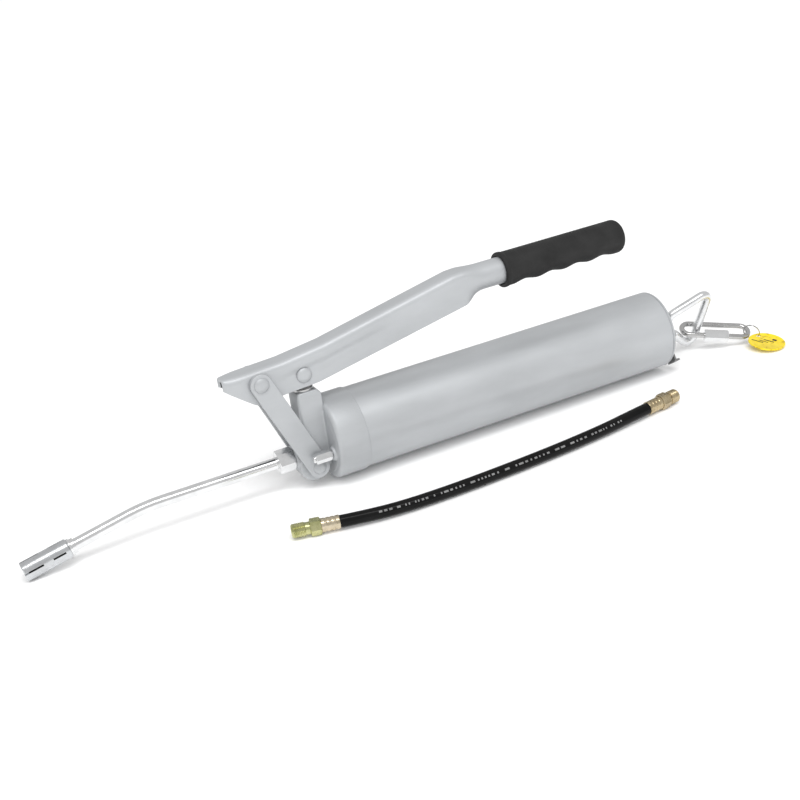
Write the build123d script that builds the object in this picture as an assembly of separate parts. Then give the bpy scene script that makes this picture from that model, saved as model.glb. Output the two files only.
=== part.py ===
from build123d import *
from math import atan2, cos, degrees, pi, radians, sin, sqrt, tan
import os

# Lever-operated hand grease gun for 400 g cartridges, with a spare whip hose beside it.
# Frame: +X along the barrel towards the pull handle, +Z towards the lever,
# origin on the barrel's axis at the middle of the bare tube. All sizes in millimetres.
# The gun lies on the head's collar and the coupler's mouth, on a surface at about z = -30.

# ---- driving dimensions: barrel and head ----
TUBE_R = 28.0
TUBE_WALL = 1.25
BORE_R = TUBE_R - TUBE_WALL
TUBE_END_X = 116.5
COLLAR_R = 28.9
COLLAR_FRONT_X = -149.0
COLLAR_BACK_X = -121.0
TUBE_SEAT_X = -143.0
GASKET_T = 1.0
FIT_GAP = 0.05

# ---- driving dimensions: pump ----
PUMP_X = -157.5
TOWER_FRONT_X = -165.0
TOWER_HALF_Y = 9.0
TOWER_TOP_Z = 38.4
PLUNGER_R = 4.0
PLUNGER_TIP_Z = -3.0
PLUNGER_BORE_Z = -8.0
INLET_Z = 14.0
OUTLET_Z = -7.4
LUG_HALF_Y = 9.0
LUG_CENTRE = (-161.2, -14.3)
LUG_R = 10.0
BOSS_FRONT_X = -172.5

# ---- driving dimensions: linkage (joint centres in the XZ plane) ----
PIVOT_A = (-188.2, 53.9)
PIVOT_B = (PUMP_X, 50.5)
PIVOT_C = (-159.2, -14.4)
LINK_IN_Y = 9.6
LINK_T = 3.2
LINK_END_R = 7.4
PIN_A_R = 4.0
PIN_B_R = 4.0
PIN_C_R = 3.0
RUN_GAP = 0.06
EYE_PLAY_X = 1.1
EYE_PLAY_Z = 0.25

# ---- driving dimensions: lever ----
LEVER_HALF_Y = 9.0
LEVER_WALL = 1.8
LEVER_TUBE_R = 9.25
LEVER_TUBE_Z = 78.5
LEVER_TUBE_END_X = 88.0
GRIP_START_X = -4.0
GRIP_END_X = 95.0
GRIP_R = 12.4

# ---- driving dimensions: nozzle and coupler ----
NUT_AF = 14.0
NUT_FRONT_X = -184.0
NOZZLE_R = 4.0
NOZZLE_BORE_R = 2.3
BEND_X = -276.0
BEND_DROP_DEG = 11.5
BEND_R = 130.0
COUPLER_BACK_S = 51.5
COUPLER_LEN = 33.0
COUPLER_R = 6.6

# ---- driving dimensions: follower, pull handle and rear end ----
ROD_R = 3.2
HOOK_LEAN_DEG = 25.0
PISTON_R = 26.4
SPRING_R = 19.0
SPRING_WIRE_R = 0.9
CAP_FACE_X = 119.0
LATCH_DIR = (0.0, -0.53, -0.848)
LATCH_TILT_AXIS_R = 9.0

# ---- driving dimensions: quick link, ring and tag ----
QL_LEFT = Vector(156.94, 8.7, -14.11)
QL_RIGHT = Vector(190.9, -7.45, -21.11)
QL_BOW_R = 6.0
QL_WIRE_R = 2.0
RING_RISE = 2.0
RING_WIRE_R = 0.65
TAG_R = 13.6
TAG_T = 1.2

# ---- driving dimensions: whip hose ----
HOSE_R = 4.1
HOSE_ROUTE = [
    (-173.0, -72.0, -24.9),
    (-157.0, -76.6, -24.9),
    (-133.0, -80.0, -25.6),
    (-98.0, -80.9, -25.85),
    (-56.0, -79.6, -25.85),
    (-14.0, -76.9, -25.8),
    (24.0, -72.8, -25.6),
    (48.0, -69.0, -24.9),
    (64.0, -66.2, -24.9),
]

os.makedirs("parts", exist_ok=True)


def save(node, shape):
    """Writes one sub-component to its own STEP file."""
    export_step(shape, f"parts/{node}.step")


def cyl_x(x0, x1, r, y=0.0, z=0.0):
    """Cylinder along X between two stations."""
    return Pos((x0 + x1) / 2, y, z) * Rot(0, 90, 0) * Cylinder(r, abs(x1 - x0))


def cyl_y(y0, y1, r, x=0.0, z=0.0):
    """Cylinder along Y between two stations."""
    return Pos(x, (y0 + y1) / 2, z) * Rot(90, 0, 0) * Cylinder(r, abs(y1 - y0))


def cyl_z(z0, z1, r, x=0.0, y=0.0):
    """Cylinder along Z between two stations."""
    return Pos(x, y, (z0 + z1) / 2) * Cylinder(r, abs(z1 - z0))


def ring_x(x0, x1, r_out, r_in, y=0.0, z=0.0):
    """Ring around the X direction."""
    return cyl_x(x0, x1, r_out, y, z) - cyl_x(x0 - 1, x1 + 1, r_in, y, z)


def ring_z(z0, z1, r_out, r_in, x=0.0, y=0.0):
    """Ring around the Z direction."""
    return cyl_z(z0, z1, r_out, x, y) - cyl_z(z0 - 1, z1 + 1, r_in, x, y)


def box(x0, x1, y0, y1, z0, z1):
    """Box between two corners."""
    return Pos((x0 + x1) / 2, (y0 + y1) / 2, (z0 + z1) / 2) * Box(x1 - x0, y1 - y0, z1 - z0)


def hex_x(x0, x1, across_flats, y=0.0, z=0.0):
    """Hexagonal bar along X with two corners pointing along Y."""
    outline = RegularPolygon(across_flats / sqrt(3), 6)
    bar = extrude(outline, x1 - x0)
    return Pos(x0, y, z) * Rot(0, 90, 0) * Rot(0, 0, 90) * bar


def plate_xz(face, y0, y1):
    """Extrudes an outline drawn in the XZ plane (first coordinate X, second Z) from y0 to y1."""
    return Pos(0, y1, 0) * Rot(90, 0, 0) * extrude(face, y1 - y0)


def domed_head(x, z, y_face, outward, r, height):
    """Rivet head: a shallow dome standing on a face at y_face, pointing along outward * Y."""
    ball_r = (r * r + height * height) / (2 * height)
    ball = Pos(x, y_face + outward * (height - ball_r), z) * Sphere(ball_r)
    reach = y_face + outward * (height + 1)
    return ball & cyl_y(min(y_face, reach), max(y_face, reach), r, x, z)


def wire(points, corner_radii, r):
    """Round wire along straight runs joined by arcs."""
    path = FilletPolyline(*points, radius=corner_radii)
    section = Plane(path @ 0, z_dir=path % 0) * Circle(r)
    return sweep(section, path=path)


def frame_plane(origin, x_dir, z_dir):
    """Plane whose Z is made square to x_dir."""
    x_unit = x_dir.normalized()
    z_square = z_dir - x_unit * z_dir.dot(x_unit)
    return Plane(origin=origin, x_dir=x_unit, z_dir=z_square.normalized())


# ======================= barrel and head =======================


def make_barrel_tube():
    """Bare steel cylinder that holds the cartridge."""
    return ring_x(TUBE_SEAT_X, TUBE_END_X, TUBE_R, BORE_R)


def make_head_gasket():
    """Flat seal between the tube's end and the head."""
    return ring_x(TUBE_SEAT_X - GASKET_T, TUBE_SEAT_X, TUBE_R - 0.1, 24.5)


VENT_Y = -17.0
VENT_Z = -5.6
VENT_BOSS_X = -151.0
VENT_SHANK_R = 2.5
VENT_SEAT_X = -146.2
PACKING_R = 6.0
PACKING_Z0 = 29.0
PACKING_Z1 = 32.5
CHAMBER_R = 3.2
CHAMBER_BACK_X = -164.0
SHANK_R = 5.0
SHANK_BACK_X = -168.5
BOSS_R = 8.2
PASSAGE_END_X = TUBE_SEAT_X + 2.0


def make_tower():
    """Upright block that holds the pump bore, standing on the head's front face."""
    block = box(TOWER_FRONT_X, COLLAR_FRONT_X, -TOWER_HALF_Y, TOWER_HALF_Y, -16.0, TOWER_TOP_Z)
    block = fillet(block.edges().filter_by(Axis.Z).sort_by(Axis.X)[:2], 2.0)
    block = chamfer(block.edges().filter_by(Axis.Y).group_by(Axis.Z)[-1].sort_by(Axis.X)[-1], 3.0)
    root = box(TOWER_FRONT_X + 4, COLLAR_FRONT_X + 3, -TOWER_HALF_Y, TOWER_HALF_Y, -20.0, 26.0)
    return block + root


def make_head_casting():
    """Cast head: barrel collar, pump tower, link lug, nozzle boss and vent boss."""
    collar = cyl_x(COLLAR_FRONT_X, COLLAR_BACK_X, COLLAR_R)
    front_rim = collar.edges().filter_by(GeomType.CIRCLE).sort_by(Axis.X)[0]
    body = fillet(front_rim, 3.5) + make_tower()
    body += cyl_y(-LUG_HALF_Y, LUG_HALF_Y, LUG_R, *LUG_CENTRE)
    body += cyl_x(BOSS_FRONT_X, PUMP_X, BOSS_R, 0, OUTLET_Z)
    body += cyl_x(VENT_BOSS_X, COLLAR_FRONT_X + 2, 4.6, VENT_Y, VENT_Z)
    # Seats for the tube and its gasket.
    body -= cyl_x(TUBE_SEAT_X - GASKET_T, COLLAR_BACK_X + 1, TUBE_R + FIT_GAP)
    # Pump bore, packing seat, grease inlet and outlet, link pin hole and vent passage.
    body -= cyl_z(PLUNGER_BORE_Z, TOWER_TOP_Z + 1, PLUNGER_R + RUN_GAP, PUMP_X)
    body -= cyl_z(PACKING_Z0, TOWER_TOP_Z + 1, PACKING_R, PUMP_X)
    body -= cyl_x(PUMP_X, PASSAGE_END_X, 3.0, 0, INLET_Z)
    body -= cyl_x(CHAMBER_BACK_X - 1, PUMP_X, 1.5, 0, OUTLET_Z)
    body -= cyl_x(SHANK_BACK_X - 1, CHAMBER_BACK_X, CHAMBER_R, 0, OUTLET_Z)
    body -= cyl_x(BOSS_FRONT_X - 1, SHANK_BACK_X, SHANK_R, 0, OUTLET_Z)
    body -= cyl_y(-LUG_HALF_Y - 1, LUG_HALF_Y + 1, PIN_C_R + RUN_GAP, *PIVOT_C)
    body -= cyl_x(VENT_BOSS_X - 1, VENT_SEAT_X, VENT_SHANK_R + RUN_GAP, VENT_Y, VENT_Z)
    body -= cyl_x(VENT_SEAT_X - 1, PASSAGE_END_X, 1.0, VENT_Y, VENT_Z)
    return body


def make_plunger_packing():
    """Rubber packing rings round the plunger, two in a stack."""
    mid = (PACKING_Z0 + PACKING_Z1) / 2
    lower = ring_z(PACKING_Z0, mid - 0.05, PACKING_R, PLUNGER_R + RUN_GAP, PUMP_X)
    upper = ring_z(mid + 0.05, PACKING_Z1, PACKING_R, PLUNGER_R + RUN_GAP, PUMP_X)
    return Compound(children=[lower, upper])


def make_gland_nut():
    """Screwed ring that holds the packing down, with a flange on the tower's top."""
    body = cyl_z(PACKING_Z1, TOWER_TOP_Z, PACKING_R, PUMP_X)
    body += cyl_z(TOWER_TOP_Z, TOWER_TOP_Z + 1.6, PACKING_R + 1.2, PUMP_X)
    body -= cyl_z(PACKING_Z1 - 1, TOWER_TOP_Z + 3, PLUNGER_R + RUN_GAP, PUMP_X)
    return body


def make_vent_valve():
    """Hexagonal bleed screw on the near side of the head."""
    body = hex_x(VENT_BOSS_X - 12.0, VENT_BOSS_X - 0.3, 6.5, VENT_Y, VENT_Z)
    nose = cyl_x(VENT_BOSS_X - 13.6, VENT_BOSS_X - 12.0, 2.4, VENT_Y, VENT_Z)
    shank = cyl_x(VENT_BOSS_X - 0.3, VENT_SEAT_X - 0.1, VENT_SHANK_R, VENT_Y, VENT_Z)
    return body + nose + shank


# ======================= check valve, nozzle and coupler =======================

BALL_R = 2.4
BALL_X = -165.95


def helix_spring(height, turns, radius, wire_r):
    """Open coil spring along Z from z = 0, measured between wire centres."""
    path = Helix(pitch=height / turns, height=height, radius=radius)
    section = Plane(path @ 0, z_dir=path % 0) * Circle(wire_r)
    return sweep(section, path=path, is_frenet=True)


def make_check_ball():
    """Steel ball that shuts the outlet between strokes."""
    return Pos(BALL_X, 0, OUTLET_Z) * Sphere(BALL_R)


def make_check_spring():
    """Light spring that pushes the ball onto its seat."""
    coil = helix_spring(8.6, 5, 2.4, 0.35)
    return Pos(-177.5, 0, OUTLET_Z) * Rot(0, 90, 0) * coil


def make_nozzle_nut():
    """Hexagonal union nut with its threaded shank in the nozzle boss."""
    body = hex_x(NUT_FRONT_X, BOSS_FRONT_X, NUT_AF, 0, OUTLET_Z)
    body &= cyl_x(NUT_FRONT_X - 1, BOSS_FRONT_X + 1, NUT_AF / 2 * 1.12, 0, OUTLET_Z)
    body += cyl_x(BOSS_FRONT_X, SHANK_BACK_X, SHANK_R, 0, OUTLET_Z)
    body -= cyl_x(-178, SHANK_BACK_X + 1, CHAMBER_R, 0, OUTLET_Z)
    body -= cyl_x(NUT_FRONT_X - 1, -178, NOZZLE_R, 0, OUTLET_Z)
    return body


FALL = radians(BEND_DROP_DEG)
NOZZLE_END_S = COUPLER_BACK_S + 9.0


def nozzle_point(s):
    """Point on the lower nozzle leg, s beyond the bend corner."""
    return (BEND_X - s * cos(FALL), 0.0, OUTLET_Z - s * sin(FALL))


def make_nozzle_tube():
    """Rigid steel outlet tube with one gentle bend."""
    points = [(-178.0, 0.0, OUTLET_Z), (BEND_X, 0.0, OUTLET_Z), nozzle_point(NOZZLE_END_S)]
    return wire(points, [BEND_R], NOZZLE_R) - wire(points, [BEND_R], NOZZLE_BORE_R)


def on_coupler_axis(shape):
    """Moves a shape drawn along -X from the origin onto the coupler's axis."""
    return Pos(*nozzle_point(COUPLER_BACK_S)) * Rot(0, -BEND_DROP_DEG, 0) * shape


MOUTH_R = 3.6
CAVITY_R = 5.0
JAW_R = CAVITY_R - 0.3
JAW_FRONT_S = 27.0
JAW_BACK_S = 19.0
SEAL_BACK_S = 16.6
ADAPTER_FRONT_S = 12.0
SLOT_COUNT = 4
FIRST_SLOT_DEG = 80.0
SLOT_HALF_W = 0.6


def make_coupler_adapter():
    """Threaded end piece on the tube, closing the sleeve's back."""
    body = cyl_x(-ADAPTER_FRONT_S, -1.5, CAVITY_R - 0.05) + cyl_x(-1.5, 0.0, COUPLER_R - 0.8)
    body += cyl_x(0.0, 2.5, 5.0)
    body -= cyl_x(-ADAPTER_FRONT_S + 3.0, 3.5, NOZZLE_R)
    body -= cyl_x(-ADAPTER_FRONT_S - 1.0, 0.0, 1.8)
    return on_coupler_axis(body)


def make_coupler_sleeve():
    """Outer sleeve with four open front slots, four short rear slots and the nipple mouth."""
    body = cyl_x(-COUPLER_LEN, -1.5, COUPLER_R)
    body = chamfer(body.edges().filter_by(GeomType.CIRCLE), 0.7)
    body -= cyl_x(-COUPLER_LEN + 3.0, 0.0, CAVITY_R)
    body -= cyl_x(-COUPLER_LEN - 1, 0.0, MOUTH_R)
    for index in range(SLOT_COUNT):
        turn = Rot(FIRST_SLOT_DEG + 360 * index / SLOT_COUNT, 0, 0)
        body -= turn * box(-COUPLER_LEN - 1, -20.0, CAVITY_R - 0.3, 9.0, -SLOT_HALF_W, SLOT_HALF_W)
        body -= turn * box(-13.3, -4.7, COUPLER_R - 0.8, 9.0, -SLOT_HALF_W, SLOT_HALF_W)
    return on_coupler_axis(body)


def make_coupler_jaws():
    """Four hardened jaws that grip the nipple's head."""
    ring = ring_x(-JAW_FRONT_S, -JAW_BACK_S, JAW_R, 2.8)
    for index in range(2):
        ring -= Rot(45 + 90 * index, 0, 0) * box(-40, -10, -9, 9, -0.4, 0.4)
    return on_coupler_axis(Compound(children=list(ring.solids())))


def make_coupler_seal():
    """Cup washer behind the jaws that seals on the nipple."""
    return on_coupler_axis(ring_x(-JAW_BACK_S + 0.05, -SEAL_BACK_S, JAW_R, 1.5))


def make_coupler_spring():
    """Small spring between the adapter and the seal."""
    coil = helix_spring(SEAL_BACK_S - ADAPTER_FRONT_S - 1.0, 2, 3.6, 0.4)
    return on_coupler_axis(Pos(-SEAL_BACK_S + 0.5, 0, 0) * Rot(0, 90, 0) * coil)


# ======================= linkage and lever =======================


def link_outline():
    """Flat link with round ends over pivots A and C."""
    run = sqrt((PIVOT_A[0] - PIVOT_C[0]) ** 2 + (PIVOT_A[1] - PIVOT_C[1]) ** 2)
    mid = ((PIVOT_A[0] + PIVOT_C[0]) / 2, (PIVOT_A[1] + PIVOT_C[1]) / 2)
    slope = degrees(atan2(PIVOT_A[1] - PIVOT_C[1], PIVOT_A[0] - PIVOT_C[0]))
    face = Pos(*mid) * Rot(0, 0, slope) * SlotCenterToCenter(run, 2 * LINK_END_R)
    face -= Pos(*PIVOT_A) * Circle(PIN_A_R)
    face -= Pos(*PIVOT_C) * Circle(PIN_C_R)
    return face


def make_link(side):
    """One link plate; side is -1 for the near one and +1 for the far one."""
    y_in = side * LINK_IN_Y
    y_out = side * (LINK_IN_Y + LINK_T)
    return plate_xz(link_outline(), min(y_in, y_out), max(y_in, y_out))


def make_rivet(pivot, shaft_r, y_face, head_r, head_h):
    """Through rivet with a domed head on each side."""
    x, z = pivot
    body = cyl_y(-y_face, y_face, shaft_r, x, z)
    body += domed_head(x, z, y_face, 1, head_r, head_h)
    body += domed_head(x, z, -y_face, -1, head_r, head_h)
    return body


TOP_LINE = [(-209.5, 61.8), (-170.0, 63.6), (-140.0, 67.4), (-42.0, 87.3), (-33.0, 87.75)]
BOTTOM_LINE = [(-31.0, 65.2), (-148.0, 43.0), (-180.0, 41.2), (-192.8, 40.2), (-207.6, 56.6)]


def make_lever_channel():
    """Pressed channel lever, open underneath, drawn into a round tube at the grip end."""
    outer = make_face(Polyline(*TOP_LINE, (-24.0, 87.75), (-24.0, 69.4), *BOTTOM_LINE, close=True))
    body = plate_xz(outer, -LEVER_HALF_Y, LEVER_HALF_Y)
    lengthwise = body.edges().filter_by(lambda e: abs(e.tangent_at(0.5).X) > 0.9)
    body = fillet(lengthwise.filter_by(lambda e: e.center().Z > 59 and e.center().X < -26), 5.0)
    body += cyl_x(-36.0, LEVER_TUBE_END_X, LEVER_TUBE_R, 0, LEVER_TUBE_Z)
    inner_top = [(x, z - LEVER_WALL) for x, z in TOP_LINE[1:4]]
    inner_outline = [(-215.0, 59.8), *inner_top, (-34.0, 85.0), (-34.0, 30.0), (-215.0, 30.0)]
    inner_half_y = LEVER_HALF_Y - LEVER_WALL
    cavity = plate_xz(make_face(Polyline(*inner_outline, close=True)), -inner_half_y, inner_half_y)
    lengthwise = cavity.edges().filter_by(lambda e: abs(e.tangent_at(0.5).X) > 0.9)
    cavity = fillet(lengthwise.filter_by(lambda e: e.center().Z > 57), 3.4)
    body -= cavity
    body -= cyl_x(-36.0, LEVER_TUBE_END_X + 1, LEVER_TUBE_R - LEVER_WALL, 0, LEVER_TUBE_Z)
    body -= cyl_y(-20, 20, PIN_A_R + RUN_GAP, *PIVOT_A)
    body -= cyl_y(-20, 20, PIN_B_R, *PIVOT_B)
    return body


def make_lever_grip():
    """Moulded grip sleeve with four finger hollows underneath and a lip at its mouth."""
    body = cyl_x(GRIP_START_X, GRIP_END_X, GRIP_R, 0, LEVER_TUBE_Z)
    end_rim = body.edges().filter_by(GeomType.CIRCLE).sort_by(Axis.X)[-1]
    body = fillet(end_rim, 7.0)
    finger_pitch = 21.0
    finger_r = 24.0
    for index in range(4):
        x = 14.0 + finger_pitch * index
        body -= cyl_y(-15, 15, finger_r, x, LEVER_TUBE_Z - GRIP_R - finger_r + 1.8)
    body -= cyl_x(GRIP_START_X - 1, LEVER_TUBE_END_X, LEVER_TUBE_R, 0, LEVER_TUBE_Z)
    return body


def make_pump_plunger():
    """Hardened plunger rod with a flat eye at its top; the eye is slotted across."""
    x, z = PIVOT_B
    half_x = PIN_B_R + EYE_PLAY_X + 3.2
    body = cyl_z(PLUNGER_TIP_Z, z - 5.0, PLUNGER_R, PUMP_X)
    eye = box(x - half_x, x + half_x, -6.4, 6.4, z - 7.2, z + 7.2)
    body += fillet(eye.edges().filter_by(Axis.Y), 3.5)
    slot = Pos(x, z) * SlotCenterToCenter(2 * EYE_PLAY_X, 2 * (PIN_B_R + EYE_PLAY_Z))
    body -= plate_xz(slot, -10, 10)
    return body


# ======================= follower, pull handle and rear end =======================

ROD_FRONT_X = -139.5
CUP_X0 = -136.0
CUP_X1 = -126.0
PLATE_T = 1.5
BACK_PLATE_X = CUP_X1 - 2.5
THROUGH = 20.0


def make_rear_cap():
    """Pressed end cap, skirted inside the tube, with a rounded rim."""
    body = cyl_x(TUBE_END_X, CAP_FACE_X, TUBE_R)
    rim = body.edges().filter_by(GeomType.CIRCLE).sort_by(Axis.X)[-1]
    body = fillet(rim, 2.0)
    body += ring_x(TUBE_END_X - 8.0, TUBE_END_X, BORE_R, BORE_R - 1.5)
    body -= cyl_x(CAP_FACE_X - THROUGH, CAP_FACE_X + THROUGH, 5.0)
    return body


def make_rod_bush():
    """Flanged guide bush for the rod in the cap's centre."""
    body = cyl_x(TUBE_END_X - 2.0, CAP_FACE_X, 5.0)
    body += cyl_x(CAP_FACE_X, CAP_FACE_X + 1.3, 7.0)
    body += cyl_x(TUBE_END_X - 3.2, TUBE_END_X, 7.0)
    body -= cyl_x(CAP_FACE_X - THROUGH, CAP_FACE_X + THROUGH, ROD_R + RUN_GAP)
    return body


def hook_point(x, s):
    """Point in the hook's plane, which leans about the rod's axis."""
    lean = radians(HOOK_LEAN_DEG)
    return (x, -s * sin(lean), s * cos(lean))


def make_follower_rod():
    """Follower rod, bent outside the cap into a triangular pull hook."""
    points = [
        (ROD_FRONT_X, 0.0, 0.0),
        hook_point(127.0, 0.0),
        hook_point(133.0, 9.0),
        hook_point(164.2, 21.5),
        hook_point(160.6, -28.5),
        hook_point(151.5, -25.0),
        hook_point(140.6, -13.5),
    ]
    body = wire(points, [6.0, 8.0, 5.5, 5.0, 8.0], ROD_R)
    shoulder_x = BACK_PLATE_X + PLATE_T
    return body + ring_x(shoulder_x, shoulder_x + 3.0, 5.2, ROD_R - 0.5)


def make_piston_cup():
    """Rubber cup that pushes the grease and wipes the bore."""
    body = cyl_x(CUP_X0, CUP_X1, PISTON_R)
    body -= cyl_x(CUP_X0 - 1, CUP_X0 + 5.0, PISTON_R - 3.0)
    body -= cyl_x(BACK_PLATE_X, CUP_X1 + 1, PISTON_R - 3.0)
    body -= cyl_x(CUP_X0 - 1, CUP_X1 + 1, ROD_R)
    return body


def make_piston_front_plate():
    """Steel washer plate in front of the cup's web."""
    return ring_x(CUP_X0 + 5.0 - PLATE_T, CUP_X0 + 5.0, PISTON_R - 4.0, ROD_R)


def make_piston_back_plate():
    """Steel plate behind the cup that takes the spring's push."""
    return ring_x(BACK_PLATE_X, BACK_PLATE_X + PLATE_T, PISTON_R - 4.0, ROD_R)


def make_piston_nut():
    """Hexagonal nut that clamps the piston stack on the rod."""
    x1 = CUP_X0 + 5.0 - PLATE_T
    return hex_x(x1 - 5.0, x1, 10.0) - cyl_x(x1 - 6, x1 + 1, ROD_R)


SPRING_X0 = BACK_PLATE_X + PLATE_T + 1.0
SPRING_X1 = TUBE_END_X - 1.1


def make_follower_spring():
    """Long coil spring that drives the piston forwards."""
    coil = helix_spring(SPRING_X1 - SPRING_X0, 17, SPRING_R, SPRING_WIRE_R)
    return Pos(SPRING_X0, 0, 0) * Rot(0, 90, 0) * coil


LATCH_X = CAP_FACE_X + 3.6
LATCH_T = 1.5
LATCH_PIN_X = LATCH_X + LATCH_T / 2
LATCH_HALF_W = 5.5
EAR_MID_Y = -LATCH_TILT_AXIS_R


def on_latch(shape):
    """Turns a shape drawn with the latch pointing along +Y into its real direction round X."""
    return Rot(degrees(atan2(LATCH_DIR[2], LATCH_DIR[1])), 0, 0) * shape


def make_rod_latch():
    """Tilting latch plate: rod hole, pivot knuckle and an outward thumb tab."""
    body = box(LATCH_X, LATCH_X + LATCH_T, -LATCH_TILT_AXIS_R, 28.4, -LATCH_HALF_W, LATCH_HALF_W)
    body += box(LATCH_X, LATCH_X + 4.0, 26.9, 28.4, -LATCH_HALF_W, LATCH_HALF_W)
    body += cyl_z(-LATCH_HALF_W, LATCH_HALF_W, 1.9, LATCH_PIN_X, -LATCH_TILT_AXIS_R)
    body -= cyl_z(-9, 9, 1.0 + RUN_GAP, LATCH_PIN_X, -LATCH_TILT_AXIS_R)
    body -= cyl_x(CAP_FACE_X, CAP_FACE_X + THROUGH, ROD_R + 0.4)
    return on_latch(body)


def make_latch_bracket():
    """Two ears on the cap that carry the latch pin."""
    ears = []
    for side in (-1, 1):
        z0 = min(side * (LATCH_HALF_W + 0.3), side * (LATCH_HALF_W + 1.8))
        ear = box(CAP_FACE_X, LATCH_PIN_X + 2.4, EAR_MID_Y - 3.0, EAR_MID_Y + 3.0, z0, z0 + 1.5)
        ear -= cyl_z(-9, 9, 1.0, LATCH_PIN_X, -LATCH_TILT_AXIS_R)
        ears.append(on_latch(ear))
    return Compound(children=ears)


def make_latch_pin():
    """Small pin through the ears and the latch's knuckle."""
    half = LATCH_HALF_W + 2.3
    return on_latch(cyl_z(-half, half, 1.0, LATCH_PIN_X, -LATCH_TILT_AXIS_R))


def make_latch_spring():
    """Conical return spring under the latch plate."""
    coil = helix_spring(2.6, 2, 2.4, 0.35)
    return on_latch(Pos(CAP_FACE_X + 0.5, 16.0, 0) * Rot(0, 90, 0) * coil)


# ======================= quick link, ring and tag =======================

QL_AXIS = (QL_RIGHT - QL_LEFT).normalized()
QL_SIDE = Vector(-0.46, -0.805, -0.376)
QL_PLANE = frame_plane((QL_LEFT + QL_RIGHT) * 0.5, QL_AXIS, QL_AXIS.cross(QL_SIDE))
QL_HALF = (QL_RIGHT - QL_LEFT).length / 2
# In QL_PLANE local X runs along the link and local -Y or +Y towards its two sides.
QL_NUT_SIDE = 1 if QL_PLANE.y_dir.dot(QL_SIDE) > 0 else -1
QL_NUT_HALF = 9.0
QL_GAP_START = -8.0
QL_GAP_END = -1.2


def make_quick_link_body():
    """Oval link bent from round bar, open on one long side under its nut."""
    side = QL_NUT_SIDE * QL_BOW_R
    reach = QL_HALF + QL_BOW_R
    opening = Line((QL_GAP_START, side), (-QL_HALF, side))
    left_bow = ThreePointArc((-QL_HALF, side), (-reach, 0), (-QL_HALF, -side))
    back = Line((-QL_HALF, -side), (QL_HALF, -side))
    right_bow = ThreePointArc((QL_HALF, -side), (reach, 0), (QL_HALF, side))
    closing = Line((QL_HALF, side), (QL_GAP_END, side))
    loop = opening + left_bow + back + right_bow + closing
    start = Plane(origin=(QL_GAP_START, side, 0), z_dir=(-1, 0, 0))
    return QL_PLANE.location * sweep(start * Circle(QL_WIRE_R), path=loop)


def make_quick_link_nut():
    """Hexagonal sleeve nut that closes the link's gap."""
    bar = hex_x(-QL_NUT_HALF, QL_NUT_HALF, 8.0, QL_NUT_SIDE * QL_BOW_R, 0)
    bar -= cyl_x(-20, 20, QL_WIRE_R + RUN_GAP, QL_NUT_SIDE * QL_BOW_R, 0)
    return QL_PLANE.location * bar


TAG_NORMAL = Vector(0.08, -0.16, 0.984).normalized()
TAG_HOLE = Vector(200.3, -16.9, -25.0)
RING_INNER = QL_RIGHT + QL_AXIS * (QL_BOW_R - QL_WIRE_R - RING_WIRE_R - 0.6)
RING_CHORD = TAG_HOLE - RING_INNER
RING_PLANE = frame_plane((TAG_HOLE + RING_INNER) * 0.5, RING_CHORD, RING_CHORD.cross(QL_PLANE.z_dir))
RING_LIFT = RING_PLANE.y_dir * (RING_RISE if RING_PLANE.y_dir.Z > 0 else -RING_RISE)
RING_R = sqrt((RING_CHORD.length / 2) ** 2 + RING_RISE**2)
TAG_HOLE_OFFSET = 10.4
TAG_HOLE_R = 1.9
TAG_RUN = Vector(-0.05, -0.97, -0.16)
TAG_RUN_FLAT = (TAG_RUN - TAG_NORMAL * TAG_RUN.dot(TAG_NORMAL)).normalized()
TAG_CENTRE = TAG_HOLE + TAG_RUN_FLAT * TAG_HOLE_OFFSET


def make_tag_ring():
    """Thin split ring between the quick link and the tag."""
    return Pos(*RING_LIFT) * RING_PLANE.location * Torus(RING_R, RING_WIRE_R)


def make_tag_disc():
    """Round identification tag with one hole near its edge."""
    plane = frame_plane(TAG_CENTRE, TAG_RUN_FLAT, TAG_NORMAL)
    disc = Cylinder(TAG_R, TAG_T) - Pos(-TAG_HOLE_OFFSET, 0, 0) * Cylinder(TAG_HOLE_R, 5)
    return plane.location * disc


# ======================= whip hose =======================


def route_radii(route):
    """Arc radius at each inner point: 0.45 of the shorter run over the tangent of half the turn."""
    radii = []
    for before, here, after in zip(route, route[1:], route[2:]):
        run_in = Vector(*here) - Vector(*before)
        run_out = Vector(*after) - Vector(*here)
        half_turn = radians(run_in.get_angle(run_out)) / 2
        radii.append(0.45 * min(run_in.length, run_out.length) / tan(half_turn))
    return radii


def hose_path():
    """Centre line of the hose as runs and tangent arcs."""
    return FilletPolyline(*HOSE_ROUTE, radius=route_radii(HOSE_ROUTE))


def make_hose_tube():
    """Plain solid of the flexible hose between its two ferrules."""
    path = hose_path()
    section = Plane(path @ 0, z_dir=path % 0) * Circle(HOSE_R)
    return sweep(section, path=path)


def at_hose_end(index, shape):
    """Moves a shape drawn along -X from the origin to the hose's start (0) or end (-1)."""
    inner = HOSE_ROUTE[1] if index == 0 else HOSE_ROUTE[-2]
    outward = Vector(*HOSE_ROUTE[index]) - Vector(*inner)
    level = Vector(outward.X, outward.Y, 0).normalized()
    place = Plane(origin=HOSE_ROUTE[index], x_dir=level * -1, z_dir=(0, 0, 1))
    return place.location * shape


def make_hose_ferrule(index):
    """Crimped ferrule, gripped in two rings, at one end of the hose."""
    body = cyl_x(-12.0, 0.0, 4.6)
    for x in (-9.0, -5.0):
        body -= ring_x(x - 0.8, x + 0.8, 6.0, 4.25)
    return at_hose_end(index, body)


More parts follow.
